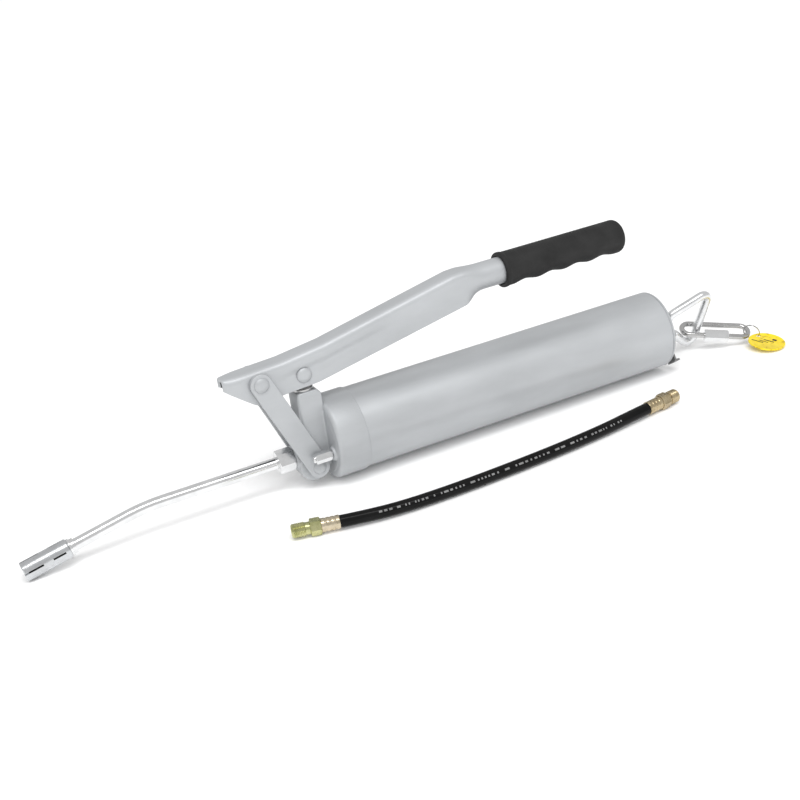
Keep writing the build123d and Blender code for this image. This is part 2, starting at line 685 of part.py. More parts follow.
def thread_end(x0, x1):
    """Plain cylinder for an external thread, chamfered at its tip."""
    stem = cyl_x(x0, x1, 4.8)
    return chamfer(stem.edges().filter_by(GeomType.CIRCLE).sort_by(Axis.X)[0], 0.8)


def make_hose_inlet():
    """Brass end with a hexagon and an external thread, for the gun's head."""
    body = hex_x(-19.0, -12.0, 10.0) + cyl_x(-22.0, -19.0, 4.1)
    body += thread_end(-31.0, -22.0)
    body -= cyl_x(-32.0, -11.0, 2.0)
    return at_hose_end(0, body)


def make_hose_outlet():
    """Brass end with a hexagon and a short round threaded nose, for a coupler."""
    body = hex_x(-19.0, -12.0, 10.0) + cyl_x(-20.5, -19.0, 4.1)
    body += thread_end(-28.5, -20.5)
    body -= cyl_x(-30.0, -11.0, 2.0)
    return at_hose_end(-1, body)


PARTS = {
    "barrel_tube": make_barrel_tube,
    "head_casting": make_head_casting,
    "head_gasket": make_head_gasket,
    "plunger_packing": make_plunger_packing,
    "gland_nut": make_gland_nut,
    "vent_valve": make_vent_valve,
    "check_ball": make_check_ball,
    "check_spring": make_check_spring,
    "nozzle_nut": make_nozzle_nut,
    "nozzle_tube": make_nozzle_tube,
    "coupler_adapter": make_coupler_adapter,
    "coupler_sleeve": make_coupler_sleeve,
    "coupler_jaws": make_coupler_jaws,
    "coupler_seal": make_coupler_seal,
    "coupler_spring": make_coupler_spring,
    "link_near": lambda: make_link(-1),
    "link_far": lambda: make_link(1),
    "link_upper_rivet": lambda: make_rivet(PIVOT_A, PIN_A_R, LINK_IN_Y + LINK_T, 5.2, 2.2),
    "link_lower_rivet": lambda: make_rivet(PIVOT_C, PIN_C_R, LINK_IN_Y + LINK_T, 4.6, 1.8),
    "lever_channel": make_lever_channel,
    "lever_grip": make_lever_grip,
    "plunger_rivet": lambda: make_rivet(PIVOT_B, PIN_B_R, LEVER_HALF_Y, 5.2, 2.0),
    "pump_plunger": make_pump_plunger,
    "rear_cap": make_rear_cap,
    "rod_bush": make_rod_bush,
    "follower_rod": make_follower_rod,
    "piston_cup": make_piston_cup,
    "piston_front_plate": make_piston_front_plate,
    "piston_back_plate": make_piston_back_plate,
    "piston_nut": make_piston_nut,
    "follower_spring": make_follower_spring,
    "rod_latch": make_rod_latch,
    "latch_bracket": make_latch_bracket,
    "latch_pin": make_latch_pin,
    "latch_spring": make_latch_spring,
    "quick_link_body": make_quick_link_body,
    "quick_link_nut": make_quick_link_nut,
    "tag_ring": make_tag_ring,
    "tag_disc": make_tag_disc,
    "hose_tube": make_hose_tube,
    "hose_inlet_ferrule": lambda: make_hose_ferrule(0),
    "hose_outlet_ferrule": lambda: make_hose_ferrule(-1),
    "hose_inlet_fitting": make_hose_inlet,
    "hose_outlet_fitting": make_hose_outlet,
}

for node, make in PARTS.items():
    save(node, make())

hose_length = hose_path().length
hose_volume = make_hose_tube().volume
print("hose arc radii", [round(r, 1) for r in route_radii(HOSE_ROUTE)])
print("hose length", round(hose_length, 1))
print("hose section times length", round(pi * HOSE_R**2 * hose_length), "volume", round(hose_volume))
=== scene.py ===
import math
from random import Random

import bmesh
import bpy
from mathutils import Matrix, Vector


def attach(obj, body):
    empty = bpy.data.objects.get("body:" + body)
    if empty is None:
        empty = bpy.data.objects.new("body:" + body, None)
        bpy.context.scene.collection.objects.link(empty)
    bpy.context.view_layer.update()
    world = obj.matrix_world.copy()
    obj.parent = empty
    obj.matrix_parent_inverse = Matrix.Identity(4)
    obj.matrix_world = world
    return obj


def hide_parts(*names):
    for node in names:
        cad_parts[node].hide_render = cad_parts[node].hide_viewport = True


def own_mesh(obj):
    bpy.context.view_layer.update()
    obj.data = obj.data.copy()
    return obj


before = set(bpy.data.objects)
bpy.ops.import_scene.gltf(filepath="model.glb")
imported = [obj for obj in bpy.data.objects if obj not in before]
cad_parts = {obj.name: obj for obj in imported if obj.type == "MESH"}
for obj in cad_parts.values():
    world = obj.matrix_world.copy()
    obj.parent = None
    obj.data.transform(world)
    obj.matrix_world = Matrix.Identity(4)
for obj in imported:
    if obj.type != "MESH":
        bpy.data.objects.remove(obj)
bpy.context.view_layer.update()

# Looks of the grease gun. Lengths are in millimetres in the row frame, and MM turns them
# into metres where a mesh is made. The camera, the lights, HOSE_LENGTH and the numbers in
# materials are in metres.
MM = 0.001

# ---- camera: its place and its axes in the row frame ----
CAMERA_AT = (-0.4365, -0.8208, 0.3913)
CAMERA_RIGHT = (0.888, -0.4387, -0.1364)
CAMERA_UP = (0.2885, 0.3018, 0.9083)
CAMERA_BACK = (-0.3575, -0.8465, 0.3947)
CAMERA_LENS = 64.1

# ---- whip hose ----
HOSE_R = 4.1
HOSE_ROUTE = [
    (-173.0, -72.0, -24.9),
    (-157.0, -76.6, -24.9),
    (-133.0, -80.0, -25.6),
    (-98.0, -80.9, -25.85),
    (-56.0, -79.6, -25.85),
    (-14.0, -76.9, -25.8),
    (24.0, -72.8, -25.6),
    (48.0, -69.0, -24.9),
    (64.0, -66.2, -24.9),
]
FLOOR_Z = -30.65

# ---- barrel, head and rear end ----
BARREL_R = 28.0
BARREL_X = (-121.0, 116.5)
BORE_R = 26.75
TUBE_FRONT_X = -143.0
COLLAR_R = 28.9
COLLAR_X = (-149.0, -127.0)
CAP_FACE_X = 119.0
TOWER_X = (-165.0, -149.0)
TOWER_HALF_Y = 9.0
TOWER_TOP_Z = 38.4
PUMP_X = -157.5
OUTLET_Z = -7.4
BOSS_R = 8.2
BOSS_FRONT_X = -172.5
LUG_CENTRE = (-161.2, -14.3)
LUG_R = 10.0
VENT_YZ = (-17.0, -5.6)
VENT_BOSS_X = -151.0

# ---- linkage ----
PIVOT_A = (-188.2, 53.9)
PIVOT_B = (PUMP_X, 50.5)
PIVOT_C = (-159.2, -14.4)
LINK_R = 7.4
FAR_LINK_R = 6.2
LINK_Y = (9.6, 12.8)

# ---- lever and grip ----
LEVER_HALF_W = 9.0
SHEET_T = 1.8
TUBE_R = 9.25
TUBE_Z = 78.5
LEVER_TIP_X = -211.5
TIP_HALF_W = 4.6
TOP_LINE = [(LEVER_TIP_X, 61.7), (-170.0, 63.6), (-140.0, 67.4), (-42.0, 87.3), (-33.0, 87.75)]
BOTTOM_LINE = [
    (LEVER_TIP_X, 54.4),
    (-192.8, 40.2),
    (-180.0, 41.2),
    (-148.0, 43.0),
    (-31.0, 65.2),
]
TIP_TAPER = 15.5
CLOSING_X = -36.0
CLOSING_RUN = 18.0
GRIP_X = (-3.0, 95.0)
GRIP_R = 12.4
GRIP_END_R = 5.0
FINGER_PITCH = 21.0
FINGER_DEPTH = 1.7

# ---- nozzle and coupler ----
NOZZLE_R = 4.0
NUT_X = (-184.0, BOSS_FRONT_X)
NUT_AF = 14.0
BEND_X = -276.0
FALL = math.radians(11.5)
COUPLER_BACK_S = 51.5
FIRST_SLOT_DEG = 80.0
NOZZLE_BEND_R = 130.0

# ---- pull hook, quick link, ring and tag ----
ROD_R = 3.2
ROD_FRONT_X = -139.5
HOOK_LEAN = math.radians(25.0)
HOOK_CORNERS = [
    (127.0, 0.0),
    (133.0, 9.0),
    (164.2, 21.5),
    (160.6, -28.5),
    (151.5, -25.0),
    (140.6, -13.5),
]
HOOK_RADII = [6.0, 8.0, 5.5, 5.0, 8.0]
LINK_LEFT = Vector((156.94, 8.7, -14.11))
LINK_RIGHT = Vector((190.9, -7.45, -21.11))
LINK_SIDE = Vector((-0.46, -0.805, -0.376))
LINK_BOW_R = 6.0
LINK_WIRE_R = 2.0
TAG_HOLE = Vector((200.3, -16.9, -25.0))
TAG_NORMAL = Vector((0.08, -0.16, 0.984)).normalized()
TAG_RUN = Vector((-0.05, -0.97, -0.16))
TAG_HOLE_OFFSET = 10.4
TAG_HOLE_R = 1.9
TAG_R = 13.6

# ---- hose ends ----
FERRULE_R = 4.6
THREAD_R = 4.8
THREAD_PITCH = 1.0
THREAD_DEPTH = 0.42

# ---- hose print: where it starts and stops along the hose, and its dashes ----
PRINT_SPAN = (0.12, 0.88)
DASH_LENGTHS = (0.004, 0.007, 0.012)
DASH_GAPS = (0.005, 0.007, 0.016)


# =========================== materials ===========================


class Surface:
    """A procedural material built on one Principled shader, textured in object coordinates."""

    def __init__(self, name, **sockets):
        self.material = bpy.data.materials.new(name)
        self.material.use_nodes = True
        self.tree = self.material.node_tree
        self.shader = self.tree.nodes["Principled BSDF"]
        self.coordinates = self.tree.nodes.new("ShaderNodeTexCoord").outputs["Object"]
        for socket, value in sockets.items():
            self.shader.inputs[socket.replace("_", " ")].default_value = value

    def node(self, kind, **inputs):
        made = self.tree.nodes.new(kind)
        for socket, value in inputs.items():
            target = made.inputs[socket]
            if isinstance(value, bpy.types.NodeSocket):
                self.tree.links.new(value, target)
            else:
                target.default_value = value
        return made

    def noise(self, scale, detail=3.0, roughness=0.55, stretch=(1, 1, 1)):
        """Noise of about 1/scale metres; stretch squeezes it along the axes."""
        mapping = self.node("ShaderNodeMapping", Vector=self.coordinates, Scale=stretch)
        field = self.node(
            "ShaderNodeTexNoise",
            Vector=mapping.outputs[0],
            Scale=scale,
            Detail=detail,
            Roughness=roughness,
        )
        return field.outputs["Fac"]

    def ramp(self, field, stops):
        """Colours or values along a field; stops are (position, value)."""
        made = self.node("ShaderNodeValToRGB", Fac=field)
        elements = made.color_ramp.elements
        while len(elements) < len(stops):
            elements.new(0.5)
        for element, (position, value) in zip(elements, stops):
            element.position = position
            element.color = value if len(value) == 4 else (*value, 1.0)
        return made.outputs["Color"]

    def colour(self, source):
        self.tree.links.new(source, self.shader.inputs["Base Color"])

    def rough(self, field, low, high):
        span = self.node("ShaderNodeMapRange", Value=field)
        span.inputs["To Min"].default_value = low
        span.inputs["To Max"].default_value = high
        self.tree.links.new(span.outputs[0], self.shader.inputs["Roughness"])

    def bump(self, field, depth, strength=1.0):
        """Raises the surface by up to depth metres, on top of any bump made before."""
        made = self.node("ShaderNodeBump", Height=field, Distance=depth, Strength=strength)
        before = self.shader.inputs["Normal"].links
        if before:
            self.tree.links.new(before[0].from_socket, made.inputs["Normal"])
        self.tree.links.new(made.outputs[0], self.shader.inputs["Normal"])


def grey(level, tint=0.0):
    """A grey, slightly blue when tint is positive."""
    return (level * (1 - tint), level, level * (1 + tint))


def painted(name, level, tint, rough, peel):
    """Satin paint with faint clouding, an orange-peel skin and a few rubbed scratches."""
    surface = Surface(name, Metallic=0.4, Specular_IOR_Level=0.4)
    clouds = surface.noise(38.0, 4.0, stretch=(0.35, 1, 1))
    darker, lighter = grey(level * 0.93, tint), grey(level * 1.06, tint)
    surface.colour(surface.ramp(clouds, [(0.32, darker), (0.68, lighter)]))
    surface.rough(surface.noise(120.0, 3.0), rough - 0.05, rough + 0.07)
    surface.bump(surface.noise(700.0, 2.0), peel)
    surface.bump(surface.noise(60.0, 2.0, stretch=(8, 1, 1)), peel * 0.8, 0.4)
    return surface.material


def plated(name, level, tint, rough, metallic=1.0):
    """Zinc or polished metal with fine drawing marks and patchy gloss."""
    surface = Surface(name, Metallic=metallic)
    patches = surface.noise(90.0, 4.0)
    darker, lighter = grey(level * 0.9, tint), grey(min(level * 1.08, 1.0), tint)
    surface.colour(surface.ramp(patches, [(0.3, darker), (0.7, lighter)]))
    surface.rough(surface.noise(240.0, 3.0, stretch=(0.2, 1, 1)), rough * 0.7, rough * 1.5)
    surface.bump(surface.noise(700.0, 2.0, stretch=(0.15, 1, 1)), 0.00001, 0.25)
    return surface.material


def tinted_metal(name, dark, light, rough):
    """Plating or brass whose colour wanders between two tones."""
    surface = Surface(name, Metallic=1.0)
    surface.colour(surface.ramp(surface.noise(150.0, 5.0), [(0.3, dark), (0.7, light)]))
    surface.rough(surface.noise(300.0, 3.0), rough * 0.7, rough * 1.4)
    surface.bump(surface.noise(800.0, 2.0), 0.00003, 0.6)
    return surface.material


def rubbery(name, level, rough, grain, depth, specular=0.28):
    """Moulded rubber or hose cover with a fine grain and dusty patches."""
    surface = Surface(name, Metallic=0.0, Specular_IOR_Level=specular)
    dust = surface.noise(70.0, 5.0)
    surface.colour(surface.ramp(dust, [(0.35, grey(level)), (0.75, grey(level * 1.7))]))
    surface.rough(surface.noise(200.0, 3.0), rough - 0.06, rough + 0.1)
    surface.bump(surface.noise(grain, 3.0, 0.6), depth)
    return surface.material


def tag_paint(name):
    """Glossy yellow tag with soft brown staining."""
    gloss = {"Specular_IOR_Level": 0.3, "Coat_Weight": 0.1, "Coat_Roughness": 0.2}
    surface = Surface(name, Metallic=0.0, **gloss)
    brown, ochre, yellow = (0.42, 0.27, 0.01), (0.78, 0.58, 0.01), (0.88, 0.70, 0.02)
    stops = [(0.3, brown), (0.42, ochre), (0.8, yellow)]
    surface.colour(surface.ramp(surface.noise(260.0, 3.0), stops))
    surface.rough(surface.noise(300.0, 2.0), 0.25, 0.42)
    surface.bump(surface.noise(500.0, 2.0), 0.00004)
    return surface.material


MATERIALS = {
    "grey_paint": painted("grey_paint", 0.44, 0.030, 0.42, 0.00003),
    "cast_grey": painted("cast_grey", 0.44, 0.030, 0.46, 0.00010),
    "dark_steel": plated("dark_steel", 0.30, 0.0, 0.42),
    "rubber_black": rubbery("rubber_black", 0.012, 0.55, 500.0, 0.00005),
    "plain_steel": plated("plain_steel", 0.55, 0.0, 0.28),
    "spring_steel": plated("spring_steel", 0.32, 0.0, 0.35),
    "bright_zinc": plated("bright_zinc", 0.80, 0.006, 0.17),
    "coupler_zinc": plated("coupler_zinc", 0.60, 0.022, 0.24),
    "hook_zinc": plated("hook_zinc", 0.80, 0.01, 0.26),
    "polished_steel": plated("polished_steel", 0.52, -0.006, 0.10),
    "tag_yellow": tag_paint("tag_yellow"),
    "tag_marks": rubbery("tag_marks", 0.02, 0.5, 400.0, 0.00002),
    "grip_black": rubbery("grip_black", 0.012, 0.60, 1100.0, 0.00014),
    "hose_black": rubbery("hose_black", 0.004, 0.16, 900.0, 0.00003, 0.12),
    "hose_marks": rubbery("hose_marks", 0.13, 0.5, 600.0, 0.00001),
    "yellow_zinc": tinted_metal("yellow_zinc", (0.40, 0.41, 0.18), (0.66, 0.64, 0.36), 0.26),
    "ferrule_zinc": tinted_metal("ferrule_zinc", (0.50, 0.43, 0.30), (0.74, 0.65, 0.50), 0.28),
    "hose_brass": tinted_metal("hose_brass", (0.36, 0.28, 0.16), (0.62, 0.52, 0.34), 0.26),
    # Near-black for the lever's inner faces: painted shade inside the open channel.
    "inner_painted_shade": painted("inner_painted_shade", 0.07, 0.0, 0.7, 0.00006),
    # Near-black for the coupler's slot sleeve and pocket floors: painted shade.
    "painted_shade_black": rubbery("painted_shade_black", 0.006, 0.8, 500.0, 0.00002),
}


# =========================== mesh helpers ===========================


def add_piece(name, verts, faces, body, slot, replaced=(), angle=35.0, bevel=0.0, paint=None):
    """Makes a mesh from points in millimetres, gives it its material and lets it ride a body."""
    mesh = bpy.data.meshes.new(name)
    mesh.from_pydata([Vector(v) * MM for v in verts], [], faces)
    mesh.validate()
    return finish_piece(name, mesh, body, slot, replaced, angle, bevel, paint)


def finish_piece(name, mesh, body, slot, replaced=(), angle=35.0, bevel=0.0, paint=None):
    """Cleans a mesh, shades it smooth up to an angle and lets its object ride a body."""
    build = bmesh.new()
    build.from_mesh(mesh)
    bmesh.ops.remove_doubles(build, verts=build.verts, dist=0.002 * MM)
    bmesh.ops.recalc_face_normals(build, faces=build.faces)
    build.to_mesh(mesh)
    build.free()
    mesh.materials.clear()
    mesh.materials.append(MATERIALS[paint or slot])
    piece = bpy.data.objects.new(name, mesh)
    bpy.context.scene.collection.objects.link(piece)
    if bevel:
        edge = piece.modifiers.new("bevel", "BEVEL")
        edge.width = bevel * MM
        edge.segments = 3
        edge.limit_method = "ANGLE"
        edge.angle_limit = math.radians(angle)
        edge.harden_normals = False
    mesh.shade_smooth()
    mesh.set_sharp_from_angle(angle=math.radians(angle))
    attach(piece, body)
    if replaced:
        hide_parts(*replaced)
    return piece


def ring_faces(rings, count, closed=False):
    """Quads between rings of count points each."""
    faces = []
    spans = rings if closed else rings - 1
    for i in range(spans):
        a, b = i * count, ((i + 1) % rings) * count
        for j in range(count):
            k = (j + 1) % count
            faces.append((a + j, a + k, b + k, b + j))
    return faces


def axes_along(direction, hint=(0, 0, 1)):
    """Two unit vectors square to a direction."""
    side = Vector(hint).cross(direction)
    if side.length < 1e-3:
        side = Vector((0, 1, 0)).cross(direction)
    side.normalize()
    return side, direction.cross(side).normalized()


def lathe(
    name,
    profile,
    origin,
    direction,
    body,
    slot,
    replaced=(),
    radius=None,
    segments=96,
    angle=35.0,
    loop=False,
):
    """Turned piece: profile is (distance along the axis, radius).

    radius(r, x, turn) may reshape it, and loop joins the last ring to the first.
    """
    direction = Vector(direction).normalized()
    origin = Vector(origin)
    side, up = axes_along(direction)
    verts = []
    for along, r in profile:
        for j in range(segments):
            turn = 2 * math.pi * j / segments
            here = radius(r, along, turn) if radius else r
            spoke = side * math.cos(turn) + up * math.sin(turn)
            verts.append(origin + direction * along + spoke * here)
    faces = ring_faces(len(profile), segments, loop)
    if not loop:
        last = (len(profile) - 1) * segments
        faces.append(tuple(range(segments)))
        faces.append(tuple(range(last, last + segments)))
    return add_piece(name, verts, faces, body, slot, replaced, angle)


def arc_profile(x, r, corner, start, end, steps=6):
    """Points of a rounded corner centred at (x, r), between two angles in degrees."""
    angles = [math.radians(start + (end - start) * i / steps) for i in range(steps + 1)]
    return [(x + corner * math.cos(a), r + corner * math.sin(a)) for a in angles]


def hexagon(across_flats, turn):
    """Distance from the centre to a hexagon's outline, corners at 0, 60, ... degrees."""
    step = math.pi / 3
    return across_flats / 2 / math.cos((turn % step) - step / 2)


def hex_bar(name, x0, x1, across_flats, bore, origin, direction, body, slot, replaced=()):
    """Hexagonal nut with turned, chamfered faces and a bore."""
    corner = across_flats / math.sqrt(3)
    face_r = across_flats / 2 * 0.97
    rise = corner - face_r
    slope = [(0.55 * rise * t, face_r + rise * t) for t in (0.0, 0.2, 0.4, 0.6, 0.8, 1.0)]
    stations = [(x0 + x, r) for x, r in slope] + [(x1 - x, r) for x, r in reversed(slope)]
    profile = [(x0, bore)] + stations + [(x1, bore)]

    def reshape(r, along, turn):
        return r if r <= bore else min(hexagon(across_flats, turn), r)

    return lathe(
        name, profile, origin, direction, body, slot, replaced, reshape, 144, 28.0, loop=True
    )


def rounded_route(corners, radii, steps=10):
    """Points along straight runs joined by tangent arcs."""
    points = [Vector(corners[0])]
    for before, here, after, r in zip(corners, corners[1:], corners[2:], radii):
        here = Vector(here)
        back = (Vector(before) - here).normalized()
        on = (Vector(after) - here).normalized()
        half = back.angle(on) / 2
        centre = here + (back + on).normalized() * (r / math.sin(half))
        first = here + back * (r / math.tan(half)) - centre
        last = here + on * (r / math.tan(half)) - centre
        first.normalize()
        last.normalize()
        points += [centre + first.slerp(last, i / steps) * r for i in range(steps + 1)]
    points.append(Vector(corners[-1]))
    return points


def tube(name, points, r, body, slot, replaced=(), sides=32, closed=False, dome=0.0):
    """Round bar along points, with domed ends when dome is given."""
    points = [Vector(p) for p in points]
    count = len(points)
    tangents = []
    for i in range(count):
        before = points[i - 1] if i or closed else points[i]
        after = points[(i + 1) % count] if i < count - 1 or closed else points[i]
        tangents.append((after - before).normalized())
    side, _ = axes_along(tangents[0])
    frames = []
    for tangent in tangents:
        side = (side - tangent * side.dot(tangent)).normalized()
        frames.append((side.copy(), tangent.cross(side)))
    stations = [(p, f, r) for p, f in zip(points, frames)]
    if dome:
        turns = [math.radians(degrees) for degrees in (15, 30, 45, 60, 75, 86)]
        cap = [(math.sin(a), math.cos(a)) for a in turns]
        first, last = points[0], points[-1]
        head = [(first - tangents[0] * dome * s, frames[0], r * c) for s, c in reversed(cap)]
        tail = [(last + tangents[-1] * dome * s, frames[-1], r * c) for s, c in cap]
        stations = head + stations + tail
    verts = []
    for place, (u, v), radius in stations:
        for j in range(sides):
            turn = 2 * math.pi * j / sides
            verts.append(place + (u * math.cos(turn) + v * math.sin(turn)) * radius)
    faces = ring_faces(len(stations), sides, closed)
    if not closed:
        last = (len(stations) - 1) * sides
        faces += [tuple(range(sides)), tuple(range(last, last + sides))]
    return add_piece(name, verts, faces, body, slot, replaced, 50.0)


def refined(node, body, slot, width=0.3, paint=None):
    """Copy of a CAD node with welded faces and softened edges, standing for that node."""
    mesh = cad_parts[node].data.copy()
    build = bmesh.new()
    build.from_mesh(mesh)
    bmesh.ops.remove_doubles(build, verts=build.verts, dist=0.004 * MM)
    flat = math.radians(1.0)
    bmesh.ops.dissolve_limit(build, angle_limit=flat, verts=build.verts, edges=build.edges)
    build.to_mesh(mesh)
    build.free()
    return finish_piece(node + "_soft", mesh, body, slot, (node,), 32.0, width, paint)


# =========================== hose, made first ===========================


def make_hose():
    """The loose hose: one smooth curve led by its route's points."""
    curve = bpy.data.curves.new("hose_line", "CURVE")
    curve.dimensions = "3D"
    curve.bevel_depth = HOSE_R * MM
    curve.bevel_resolution = 10
    curve.resolution_u = 24
    curve.use_fill_caps = True
    spline = curve.splines.new("NURBS")
    spline.points.add(len(HOSE_ROUTE) - 1)
    for point, place in zip(spline.points, HOSE_ROUTE):
        point.co = (*(Vector(place) * MM), 1.0)
    spline.order_u = 3
    spline.use_endpoint_u = True
    hose = bpy.data.objects.new("hose_cover", curve)
    bpy.context.scene.collection.objects.link(hose)
    curve.materials.append(MATERIALS["hose_black"])
    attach(hose, "hose")
    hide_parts("hose_tube")
    return hose


def read_line(hose):
    """Points of a hose's own spline, in millimetres, as Blender gives them without its bevel."""
    bare = hose.data.copy()
    bare.bevel_depth = 0.0
    reader = bpy.data.objects.new("line_reader", bare)
    mesh = bpy.data.meshes.new_from_object(reader)
    points = [vertex.co / MM for vertex in mesh.vertices]
    bpy.data.objects.remove(reader)
    bpy.data.meshes.remove(mesh)
    bpy.data.curves.remove(bare)
    return points


def line_point(line, t):
    """Place and direction on a line of points, t from 0 to 1."""
    reach = t * (len(line) - 1)
    index = min(int(reach), len(line) - 2)
    here, after = line[index], line[index + 1]
    return here + (after - here) * (reach - index), (after - here).normalized()


def make_hose_marks():
    """Print along the hose: plain dashes of mixed length, no lettering."""
    rng = Random(5)
    line = read_line(HOSE)
    verts, faces = [], []
    t, stop = PRINT_SPAN
    while t < stop:
        length = rng.choice(DASH_LENGTHS)
        add_mark(verts, faces, line, t, t + length)
        t += length + rng.choice(DASH_GAPS)
    return add_piece(
        "hose_print", verts, faces, "hose", "hose_black", (), 40.0, paint="hose_marks"
    )


def add_mark(verts, faces, line, t0, t1):
    """One dash lying on the hose's upper near side."""
    lift, half_width, middle = HOSE_R + 0.03, 9.0, 36.0
    rows = []
    for t in (t0, (t0 + t1) / 2, t1):
        place, direction = line_point(line, t)
        side, up = axes_along(direction)
        row = []
        for degrees in (middle - half_width, middle, middle + half_width):
            turn = math.radians(degrees)
            row.append(len(verts))
            verts.append(place + (side * -math.cos(turn) + up * math.sin(turn)) * lift)
        rows.append(row)
    for low, high in zip(rows, rows[1:]):
        for k in range(2):
            faces.append((low[k], low[k + 1], high[k + 1], high[k]))


HOSE = make_hose()


# =========================== barrel, head and cap ===========================


def turned_on_barrel(name, profile, slot, replaced, angle):
    """Closed turned piece on the barrel's axis, riding on the gun's body."""
    return lathe(
        name, profile, (0, 0, 0), (1, 0, 0), "gun_body", slot, (replaced,), None, 192, angle, True
    )


def make_barrel():
    """Drawn cylinder with softly broken ends."""
    x0, x1 = TUBE_FRONT_X, BARREL_X[1]
    outside = [(x, BARREL_R) for x in (x0, -120.0, 0.0, x1 - 0.5)]
    profile = outside + [(x1, BARREL_R - 0.6), (x1, BORE_R), (x0, BORE_R)]
    return turned_on_barrel("barrel_shell", profile, "grey_paint", "barrel_tube", 35.0)


def make_cap():
    """Pressed end cap with a rounded rim and a shallow pressed ring."""
    face, seat = CAP_FACE_X, BARREL_X[1]
    rim = [(face - 2.0 + x, BARREL_R - 2.0 + r) for x, r in arc_profile(0, 0, 2.0, 90, 0)]
    pressed = [(face, 20.5), (face - 0.5, 19.6), (face - 0.5, 14.0), (face, 13.1), (face, 5.0)]
    skirt = [(seat - 8.0, BORE_R - 1.5), (seat - 8.0, BORE_R - 0.05), (seat, BORE_R - 0.05)]
    skirt += [(seat + 0.02, BARREL_R - 0.6), (seat + 0.5, BARREL_R)]
    profile = skirt + rim + pressed + [(seat, 5.0), (seat, BORE_R - 1.5)]
    return turned_on_barrel("cap_pressing", profile, "grey_paint", "rear_cap", 35.0)


def make_collar():
    """Turned collar of the head, closed at its front."""
    front, back = COLLAR_X
    corner = 3.5
    turned = arc_profile(0, 0, corner, 180, 90, 10)
    rim = [(front + corner + x, COLLAR_R - corner + r) for x, r in turned]
    lip = [(back - 0.9, COLLAR_R), (back - 0.3, COLLAR_R - 0.25), (back, BARREL_R + 0.03)]
    seat = TUBE_FRONT_X - 1.0
    bore = [(seat, BARREL_R + 0.03), (seat, 1.0), (front, 1.0)]
    return turned_on_barrel("head_collar", rim + lip + bore, "cast_grey", "head_casting", 30.0)


def rounded_box_outline(x0, x1, y0, y1, front_r, back_r):
    """Outline in XY with rounded corners at its low-X (front) and high-X (back) ends."""
    corners = [(x0, y0, front_r, 180), (x1, y0, back_r, 270)]
    corners += [(x1, y1, back_r, 0), (x0, y1, front_r, 90)]
    points = []
    for x, y, r, start in corners:
        cx = x + r if x == x0 else x - r
        cy = y + r if y == y0 else y - r
        for i in range(7):
            a = math.radians(start + 15 * i)
            points.append((cx + r * math.cos(a), cy + r * math.sin(a)))
    return points


def stacked(outlines, place):
    """Closed solid through outlines of equal length; place(level, u, v) gives the point."""
    count = len(outlines[0][1])
    verts = [place(level, u, v) for level, outline in outlines for u, v in outline]
    last = (len(outlines) - 1) * count
    faces = ring_faces(len(outlines), count)
    return verts, faces + [tuple(range(count)), tuple(range(last, last + count))]


def disc_outline(cx, cy, r, count=64):
    turns = [2 * math.pi * i / count for i in range(count)]
    return [(cx + r * math.cos(a), cy + r * math.sin(a)) for a in turns]


def make_tower():
    """Cast tower, nozzle boss, link lug and vent boss, grown together with soft fillets."""
    top, half = TOWER_TOP_Z, TOWER_HALF_Y
    front, back = TOWER_X
    buried = -147.0  # inside the collar
    block = rounded_box_outline(front, back + 1.0, -half, half, 2.0, 0.5)
    crown = rounded_box_outline(front + 1.0, back - 2.0, -half + 1.0, half - 1.0, 2.0, 0.5)
    lug = disc_outline(*LUG_CENTRE, LUG_R)
    boss = disc_outline(0, OUTLET_Z, BOSS_R)
    vent = [(VENT_BOSS_X, disc_outline(*VENT_YZ, 4.6)), (buried, disc_outline(*VENT_YZ, 4.8))]
    root = [(-149.2, disc_outline(0, 0, 24.0)), (buried, disc_outline(0, 0, 24.4))]

    def along_x(x, u, v):
        return x, u, v

    solids = [
        stacked([(-16.0, block), (top - 2.6, block), (top, crown)], lambda z, u, v: (u, v, z)),
        stacked([(-half, lug), (half, lug)], lambda y, u, v: (u, y, v)),
        stacked([(BOSS_FRONT_X, boss), (PUMP_X, boss)], along_x),
        stacked(vent, along_x),
        stacked(root, along_x),
    ]
    verts, faces = [], []
    for more_verts, more_faces in solids:
        faces += [tuple(index + len(verts) for index in face) for face in more_faces]
        verts += more_verts
    tower = add_piece("head_tower", verts, faces, "gun_body", "cast_grey")
    weld = tower.modifiers.new("weld", "REMESH")
    weld.mode = "VOXEL"
    weld.voxel_size = 0.42 * MM
    weld.use_smooth_shade = True
    soften = tower.modifiers.new("soften", "SMOOTH")
    soften.factor = 0.5
    soften.iterations = 7
    return tower


# =========================== linkage ===========================


def plate(name, outline, y0, y1, body, slot, replaced, edge=0.5):
    """Flat plate whose outline lies in XZ, with rounded edges."""
    count = len(outline)
    normals = []
    for i in range(count):
        run = Vector(outline[(i + 1) % count]) - Vector(outline[i - 1])
        normals.append(Vector((run.y, -run.x)).normalized())

    def inset(amount):
        return [(u - n.x * amount, v - n.y * amount) for (u, v), n in zip(outline, normals)]

    steps = [(0.0, 1.0), (0.13, 0.5), (0.5, 0.13), (1.0, 0.0)]
    levels = [(y0 + edge * a, inset(edge * b)) for a, b in steps]
    levels += [(y1 - edge * a, inset(edge * b)) for a, b in reversed(steps)]
    verts, faces = stacked(levels, lambda y, u, v: (u, y, v))
    return add_piece(name, verts, faces, body, slot, replaced, 40.0)


def link_outline(upper_r):
    """Outline of a link with round ends over pivots A and C."""
    a, c = Vector(PIVOT_A), Vector(PIVOT_C)
    run = (a - c).normalized()
    start = math.atan2(run.y, run.x)
    outline = []
    for centre, turn, r in ((a, start - math.pi / 2, upper_r), (c, start + math.pi / 2, LINK_R)):
        for i in range(33):
            angle = turn + math.pi * i / 32
            outline.append((centre.x + r * math.cos(angle), centre.y + r * math.sin(angle)))
    return outline


